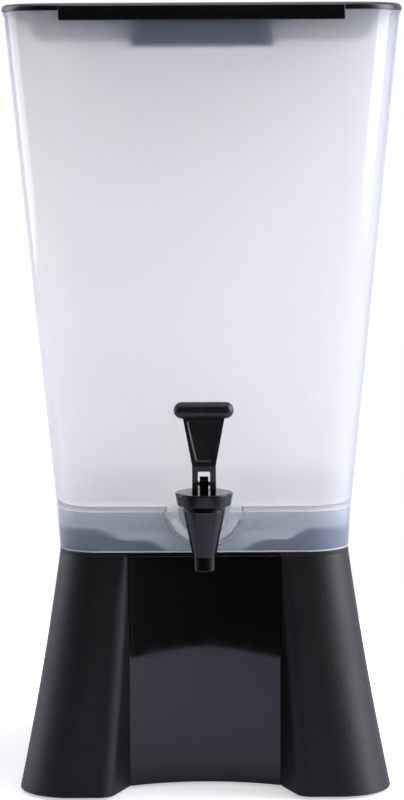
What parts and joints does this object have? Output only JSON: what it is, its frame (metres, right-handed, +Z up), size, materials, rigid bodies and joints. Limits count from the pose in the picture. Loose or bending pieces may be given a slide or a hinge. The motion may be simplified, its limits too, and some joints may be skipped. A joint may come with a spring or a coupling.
{
  "type": "juice dispenser",
  "caption": "Square juice dispenser: flared stand with a cup recess, lift-off translucent container, sunken lid and a self-closing lever tap.",
  "frame": {"origin": "on the table under the middle of the bounding box", "axes": "+Z up, -Y toward the user who pulls the tap, +X to that user's right"},
  "size_m": [0.2774, 0.2966, 0.556],
  "materials": {
    "matte_black": "fine moulded grain",
    "gloss_black": "polished",
    "milky": "translucent natural polypropylene",
    "rubber": "matte rubber",
    "silicone": "food-grade silicone",
    "steel": "stainless wire and rod"
  },
  "bodies": {
    "stand": {"base_shell": "matte_black", "front_panel": "gloss_black", "foot_front_left": "rubber", "foot_front_right": "rubber", "foot_rear_left": "rubber", "foot_rear_right": "rubber"},
    "vessel": {"container": "milky", "tap_body": "gloss_black", "tap_bonnet": "gloss_black", "outer_gasket": "rubber", "inner_gasket": "rubber", "slip_washer": "matte_black", "tap_nut": "matte_black", "seat_cup": "silicone", "stem_spring": "steel"},
    "cover": {"lid": "matte_black"},
    "valve": {"valve_stem": "gloss_black", "spring_washer": "steel", "lever_pin": "steel"},
    "lever": {"tap_lever": "gloss_black"}
  },
  "joints": [
    {"name": "container_lift", "type": "slide", "parent": "stand", "child": "vessel", "axis": [0, 0, 1], "range_m": [0, 0.06]},
    {"name": "lid_lift", "type": "slide", "parent": "vessel", "child": "cover", "axis": [0, 0, 1], "range_m": [0, 0.12]},
    {"name": "stem_lift", "type": "slide", "parent": "vessel", "child": "valve", "axis": [0, 0, 1], "range_m": [0, 0.0045], "stiffness_N_per_m": 700, "springref_m": -0.004, "deforming": ["stem_spring", "seat_cup"]},
    {"name": "lever_tilt", "type": "hinge", "parent": "valve", "child": "lever", "pos_m": [0, -0.12798, 0.226], "axis": [1, 0, 0], "range_deg": [0, 50]}
  ],
  "couplings": [
    {"joint": "lever_tilt", "follows": "stem_lift", "rad_per_m": 193.93}
  ]
}
